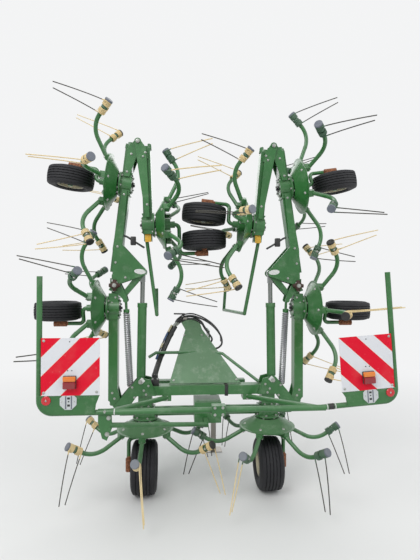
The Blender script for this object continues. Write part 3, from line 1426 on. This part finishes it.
@dataclass
class Trim:
    """Blank plates, plate bolts, straps, rings and the lever."""

    oval_sides: int = 24
    oval_at: Point = (0.597, -0.0705, 1.943)
    label_x: tuple[float, float] = (-0.53, 0.454)
    label_y: float = -0.0402
    label_z: float = 2.241
    inner_bolts: tuple[tuple[float, float], ...] = (
        (0.86, 0.715), (0.91, 0.695), (1.745, 0.72), (1.805, 0.7), (1.7, 0.69))
    middle_bolts: tuple[tuple[float, float], ...] = (
        (2.05, 0.7), (2.19, 0.7), (2.65, 0.7), (2.85, 0.7), (3.01, 0.72), (1.93, 0.8))
    outer_bolts: tuple[tuple[float, float], ...] = ((3.225, 0.7), (3.26, 0.72), (3.68, 0.7))
    hinge_bolts: tuple[tuple[float, float], ...] = (
        (0.52, 0.94), (0.56, 0.9), (0.64, 0.84), (0.66, 0.93), (0.54, 0.865))
    faces: tuple[float, float, float, float] = (0.051, 0.07, 0.087, 0.067)
    guard_y: float = -0.805
    guard_z: float = 0.95
    guard_turn: float = math.radians(4.25)
    clamp_x: float = 0.74
    lever_at: Point = (-0.205, 0.425, 1.487)
    lever_foot: Point = (0.03, 0.012, 0.012)
    hood_lean: float = math.radians(38)
    strap_x: float = 0.171
    strap_w: float = 0.03

    def oval(self, made: Shape, at: Vector, wide: float, high: float, turn: float) -> None:
        """Adds a blank oval plate that faces backwards.

        Args:
            made: Where it is added.
            at: Its middle.
            wide: Its width.
            high: Its height.
            turn: How far it is turned in its plane.
        """
        angles = [k * math.tau / self.oval_sides for k in range(self.oval_sides)]
        outline = [(wide / 2 * math.cos(a), high / 2 * math.sin(a)) for a in angles]
        facing = Matrix.Translation(at) @ FACING_BACK @ Matrix.Rotation(turn, 4, "Z")
        made.plate(outline, 0.0012, LABEL_WHITE, facing)

    def label(self, made: Shape, at: Vector, wide: float, high: float, turn: float, finish: Finish) -> None:
        """Adds a blank rectangular plate that faces backwards.

        Args:
            made: Where it is added.
            at: Its middle.
            wide: Its width.
            high: Its height.
            turn: How far it is turned in its plane.
            finish: Its finish.
        """
        facing = Matrix.Translation(at) @ FACING_BACK @ Matrix.Rotation(turn, 4, "Z")
        made.box((-wide / 2, -high / 2, 0.0), (wide / 2, high / 2, 0.0012), finish, 0.0003, facing)

    def bolts(self, made: Shape, bolt: Shape, places: list[Vector], face: float) -> None:
        """Adds bolts that stand out backwards from a plate, and the same in front.

        Args:
            made: Where they are added.
            bolt: The bolt.
            places: Their places, of which X and Z are used.
            face: How far the plate's face is from the middle plane.
        """
        for at in places:
            for way in (-1, 1):
                made.stamp(bolt, frame_along(Vector((at.x, way * face, at.z)), Vector((0, way, 0))))

    def wing(self, side: Side) -> None:
        """Adds the bolts and blank plates of one wing.

        Args:
            side: Which wing.
        """
        name = side.name.lower()
        inner, middle, outer = (Station(side, section) for section in list(Section)[1:])
        on_inner, on_middle, on_outer = Shape(), Shape(), Shape()
        for made, station, places, face in ((on_inner, inner, self.inner_bolts, self.faces[0]),
                                            (on_middle, middle, self.middle_bolts, self.faces[1]),
                                            (on_outer, outer, self.outer_bolts, self.faces[2])):
            self.bolts(made, M12, [station.place(x, 0, z) for x, z in places], face)
        x, y, z = self.oval_at
        self.oval(on_middle, Vector((side.value * x, y, z)), 0.1, 0.045, side.value * math.radians(6.0))
        label_at = Vector((self.label_x[side is Side.RIGHT], self.label_y, self.label_z))
        self.label(on_outer, label_at, 0.054, 0.07, math.radians(2.0), LABEL_YELLOW)
        on_inner.build(f"plate_bolts_inner_{name}", inner.boom_body, "bare_steel")
        on_middle.build(f"plate_bolts_middle_{name}", middle.boom_body, "bare_steel")
        on_outer.build(f"plate_bolts_outer_{name}", outer.boom_body, "bare_steel")

    def frame(self) -> None:
        """Adds the bolts, rings, labels and straps of the frame and the guard."""
        made = Shape()
        for side in Side:
            s = side.value
            self.bolts(made, M12, [Vector((s * x, 0, z)) for x, z in self.hinge_bolts], self.faces[3])
            for x, z in ((0.36, 0.812), (0.36, 0.838)):
                made.stamp(M12, frame_along(Vector((s * x, -0.055, z)), Vector((0, -1, 0))))
        for x, z in ((-0.739, 0.912), (-0.765, 0.955), (-0.75, 0.8)):
            made.stamp(M16, frame_along(Vector((x, -0.811, z)), Vector((0, -1, 0))))
        for x in (-0.004, 0.052):
            for z in (0.926, 0.974):
                made.stamp(M12, frame_along(Vector((x, -0.839, z)), Vector((0, -1, 0))))
        for x, z in ((-0.3, 0.96), (0.272, 0.96), (-0.2, 1.33), (-0.03, 1.33)):
            y = 0.01 + (z - 0.9353) * math.tan(self.hood_lean)
            out = Vector((0, -math.cos(self.hood_lean), math.sin(self.hood_lean)))
            made.stamp(M12, frame_along(Vector((x, y, z)) + out * 0.005, out))
        made.build("frame_bolts", "root", "bare_steel")
        trim = Shape()
        for s in (-1, 1):
            self.label(trim, Vector((s * 0.577, -0.0674, 0.985)), 0.042, 0.042, math.radians(45), LABEL_WHITE)
        rise = math.tan(self.guard_turn)
        for x, r in ((-0.70, 0.0213), (0.812, 0.0193), (0.872, 0.0193)):
            slope = 0.0 if x < self.clamp_x else rise
            at = Vector((x, self.guard_y, self.guard_z + max(0.0, x - self.clamp_x) * rise))
            trim.turned([(r, -0.003), (r + 0.0016, -0.003), (r + 0.0016, 0.003), (r, 0.003)], LABEL_WHITE, 28,
                        frame_along(at, Vector((1.0, 0.0, slope)).normalized()))
        trim.turned([(0.0202, -0.02), (0.0216, -0.02), (0.0216, 0.02), (0.0202, 0.02)], PLASTIC_BLACK, 24,
                    frame_along(Vector((0.842, self.guard_y, 0.9576)), Vector((1, 0, rise))))
        x0, x1 = self.strap_x - self.strap_w / 2, self.strap_x + self.strap_w / 2
        for (y0, z0), (y1, z1) in (((-0.0572, 0.838), (-0.0552, 0.9325)),
                                   ((-0.0572, 0.9304), (0.0572, 0.9325)),
                                   ((-0.0552, 0.8376), (0.0572, 0.8396))):
            trim.box((x0, y0, z0), (x1, y1, z1), PLASTIC_BLACK, 0.0006)
        trim.build("blank_plates", "root", "board")

    def lever(self) -> None:
        """Adds the lever on the hood's head, with its knob and ring."""
        made = Shape()
        base, foot = Vector(self.lever_at), Vector(self.lever_foot)
        made.box(tuple(base - foot), tuple(base + foot), BARE_STEEL, 0.003)
        made.rod(base, base + Vector((0.0, 0.0, 0.045)), 0.008, BARE_STEEL, 12)
        made.rod(base + Vector((0.012, 0.0, 0.045)), base + Vector((-0.1, 0.0, 0.047)), 0.0075, PLASTIC_BLACK,
                 12, bevel=0.002)
        made.build("hood_lever", "root", "bare_steel")

    def build(self) -> None:
        """Makes all of it."""
        for side in Side:
            self.wing(side)
        self.frame()
        self.lever()


@dataclass
class WingDetails:
    """Hose loops beside the outer booms, joints of the drive line and the rods' eye blocks."""

    hose_r: float = 0.009
    right_in: float = 0.035
    hose: tuple[Point, ...] = ((0.735, -0.075, 2.255), (0.7, -0.098, 2.24), (0.652, -0.105, 2.208),
                               (0.6, -0.098, 2.176), (0.56, -0.078, 2.152))
    box_x: float = 0.652
    box_half: float = 0.023
    joint_at: Point = (0.815, -0.078, 1.822)
    bell_r: float = 0.034
    cross_r: float = 0.017
    cross: tuple[Point, ...] = ((0.048, 0.0, 0.0), (0.0, 0.0, 0.05))
    eye_r: float = 0.022
    eye_span: tuple[float, float] = (0.085, 0.03)
    rod_end: float = 0.03

    def boom_hose(self, side: Side) -> None:
        """Adds the black hose loop with its box beside the outer boom.

        Args:
            side: Which wing.
        """
        made = Shape()
        inward = self.right_in if side is Side.RIGHT else 0.0
        route = [(side.value * (x - inward), y, z) for x, y, z in self.hose]
        made.sweep(smooth_route(route, 5), self.hose_r, HOSE_BLACK, 10)
        x = side.value * (self.box_x - inward)
        made.box((x - self.box_half, -0.125, 2.17), (x + self.box_half, -0.088, 2.245), PLASTIC_BLACK, 0.006)
        made.build(f"boom_hose_{side.name.lower()}", f"wing_middle_{side.name.lower()}", "hose")

    def drive_joint(self, side: Side) -> None:
        """Adds the rusty universal joint where the inner boom's drive meets the middle one's.

        Args:
            side: Which wing.
        """
        made = Shape()
        at = Vector((side.value * self.joint_at[0], *self.joint_at[1:]))
        front = at + Vector((0.0, -0.022, 0.0))
        made.rod(at + Vector((0.0, 0.03, 0.0)), front, self.bell_r, CAST_RUST, 20, bevel=0.004)
        for arm in map(Vector, self.cross):
            made.rod(at - arm, at + arm, self.cross_r, CAST_RUST, 16, bevel=0.003)
        made.stamp(PIN_NUT, frame_along(front, Vector((0.0, -1.0, 0.0))))
        made.build(f"drive_joint_{side.name.lower()}", f"wing_inner_{side.name.lower()}", "bare_steel")

    def clevis(self, side: Side) -> None:
        """Adds the green eye block on the upper end of the cylinder's rod.

        Args:
            side: Which wing.
        """
        name = side.name.lower()
        low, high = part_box(f"rod_{name}")
        foot = next(Vector(j["pos_m"]) for j in frame["joints"] if j["name"] == f"lift_{name}")
        top = Vector(((low[0] + high[0]) / 2, 0.0, high[2] - self.rod_end))
        along = (top - foot).normalized()
        made = Shape()
        low_end, high_end = (top - along * s for s in self.eye_span)
        made.rod(low_end, high_end, self.eye_r, GREEN, 20, bevel=0.003)
        made.build(f"rod_eye_{name}", f"rod_{name}", "paint")

    def build(self) -> None:
        """Makes all of it."""
        for side in Side:
            self.boom_hose(side)
            self.drive_joint(side)
            self.clevis(side)


# Finish of the carried-over nodes, by how their names start; the rest is green
NODE_FINISHES = {"tyre": RUBBER, "rim_outer_left": RIM_SILVER, "rim": RIM_CREAM, "tines": COIL_CREAM,
                 "springs": SPRING_STEEL, "rod_": CHROME, "parking": BARE_STEEL, "hoses": HOSE_BLACK,
                 "lamps": LENS_RED, "headstock": HOOD_GREEN}


def node_finish(node: str) -> Finish:
    """Chooses the finish of a carried-over node by its name.

    Args:
        node: The node's name.

    Returns:
        Its finish.
    """
    return next((finish for start, finish in NODE_FINISHES.items() if node.startswith(start)), GREEN)


def socket_place(station: Station) -> Vector:
    """Finds the cast socket beside a rotor's wheel.

    Args:
        station: The rotor.

    Returns:
        The socket's middle.
    """
    joint = next(j for j in frame["joints"] if j["name"] == f"roll_{station.name}")
    centre = Vector(joint["pos_m"])
    half = 0.1075 if station.section is Section.CENTRE else 0.0825
    bracket = -1 if station.section is Section.INNER or station.name == "outer_right" else 1
    up = station.matrix().to_3x3() @ Vector((0, 0, 1))
    return centre + Vector(joint["axis"]).normalized() * bracket * (half + 0.032) + up * 0.02


def dress_frame() -> None:
    """Gives every carried-over node its finish."""
    stripes = StripedBoard().material()
    for name, node in frame["nodes"].items():
        finish = node_finish(name)
        if name == "centre_gearboxes":
            centre = [station for station in STATIONS if station.section is Section.CENTRE]
            sockets = [tuple(socket_place(station)) for station in centre]
            finish = GREEN.rusted_at("centre", sockets, 0.085)
        elif name.startswith("gearbox_"):
            station = next(item for item in STATIONS if name == f"gearbox_{item.name}")
            finish = GREEN.rusted_at(station.name, [tuple(socket_place(station))], 0.075)
        node.data.materials.clear()
        node.data.materials.append(stripes if name == "boards" else finish.material())


@dataclass
class Studio:
    """Camera, floor and soft light."""

    camera_at: tuple[float, float, float] = (-0.2664, -3.6842, 1.8573)
    yaw: float = 0.0787
    pitch: float = 0.0039
    roll: float = 0.0035
    focal_px: float = 408.33
    image_height: float = 560.0
    sensor: float = 36.0
    backdrop: Colour = (0.9, 0.905, 0.91)
    floor_half: float = 80.0
    fade: tuple[float, float] = (1.6, 6.5)
    lights: tuple[tuple[str, Point, float, float], ...] = (
        ("key", (-4.0, -5.0, 7.0), 5.0, 400.0), ("fill", (5.5, -3.0, 5.0), 5.0, 150.0),
        ("back", (0.0, 6.0, 6.0), 6.0, 200.0))
    aim: Point = (0.0, 0.0, 1.5)

    def build(self) -> None:
        """Makes the camera, the floor, the lamps and the world."""
        self.camera()
        self.floor()
        self.lamps()
        self.world()

    def camera(self) -> None:
        """Places the camera where the photograph was taken from."""
        data = bpy.data.cameras.new("camera")
        data.sensor_fit = "AUTO"
        data.sensor_width = self.sensor
        data.lens = self.focal_px / self.image_height * self.sensor
        camera = bpy.data.objects.new("camera", data)
        turn = (Matrix.Rotation(-self.yaw, 4, "Z") @ Matrix.Rotation(math.pi / 2 + self.pitch, 4, "X")
                @ Matrix.Rotation(self.roll, 4, "Z"))
        camera.matrix_world = Matrix.Translation(self.camera_at) @ turn
        bpy.context.scene.collection.objects.link(camera)
        bpy.context.scene.camera = camera

    def floor(self) -> None:
        """Lays a pale floor that keeps the shadow and runs into the backdrop's colour far away."""
        mesh = bpy.data.meshes.new("floor")
        bm = bmesh.new()
        bmesh.ops.create_grid(bm, x_segments=1, y_segments=1, size=self.floor_half)
        bm.to_mesh(mesh)
        bm.free()
        floor = bpy.data.objects.new("floor", mesh)
        material = bpy.data.materials.new("floor")
        material.use_nodes = True
        t = NodeTree(material.node_tree)
        shader = material.node_tree.nodes["Principled BSDF"]
        shader.inputs["Base Color"].default_value = (0.7, 0.7, 0.69, 1.0)
        shader.inputs["Roughness"].default_value = 0.9
        glow = t.add("Emission", Color=self.backdrop, Strength=1.0)
        place = t.add("TexCoord").outputs["Object"]
        away = t.vector_math("DISTANCE", place, (0.0, 0.0, 0.0)).outputs["Value"]
        rays = t.add("LightPath")
        seen = t.math("MAXIMUM", rays.outputs["Is Camera Ray"], rays.outputs["Is Glossy Ray"])
        share = t.math("MULTIPLY", t.ramp(away, *self.fade), seen)
        mixed = t.add("MixShader")
        t.put(mixed, 0, share)
        t.put(mixed, 1, shader.outputs[0])
        t.put(mixed, 2, glow.outputs[0])
        t.put(material.node_tree.nodes["Material Output"], "Surface", mixed.outputs[0])
        mesh.materials.append(material)
        bpy.context.scene.collection.objects.link(floor)

    def lamps(self) -> None:
        """Hangs the large soft lamps."""
        for name, at, size, power in self.lights:
            data = bpy.data.lights.new(name, "AREA")
            data.size = size
            data.energy = power
            lamp = bpy.data.objects.new(name, data)
            lamp.location = at
            lamp.rotation_euler = (Vector(self.aim) - Vector(at)).to_track_quat("-Z", "Y").to_euler()
            bpy.context.scene.collection.objects.link(lamp)

    def world(self) -> None:
        """Sets an even pale sky, seen as the backdrop's colour."""
        world = bpy.data.worlds.new("sky")
        bpy.context.scene.world = world
        world.use_nodes = True
        t = NodeTree(world.node_tree)
        light = world.node_tree.nodes["Background"]
        light.inputs["Color"].default_value = (0.86, 0.88, 0.9, 1.0)
        light.inputs["Strength"].default_value = 0.75
        shown = t.add("Background", Color=self.backdrop, Strength=1.0)
        rays = t.add("LightPath")
        mixed = t.add("MixShader")
        t.put(mixed, 0, rays.outputs["Is Camera Ray"])
        t.put(mixed, 1, light.outputs[0])
        t.put(mixed, 2, shown.outputs[0])
        t.put(world.node_tree.nodes["World Output"], "Surface", mixed.outputs[0])


def main() -> None:
    """Builds the looks in order."""
    logging.basicConfig(level=logging.INFO)
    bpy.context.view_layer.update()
    bpy.context.scene.view_settings.view_transform = "Standard"
    Studio().build()
    dress_frame()
    for station in STATIONS:
        Tines().build(station)
        RotorBolts().build(station)
        Wheel().build(station)
    for side in Side:
        CoilSpring().build(side)
    lamps, screws = Shape(), Shape()
    for guard in GUARDS:
        guard.build(lamps, screws)
    lamps.build("tail_lamps", "root", "lamp", ("lamps",))
    screws.build("board_screws", "root", "bare_steel")
    Hydraulics().build()
    PinEnds().build()
    Trim().build()
    WingDetails().build()


if __name__ == "__main__":
    main()
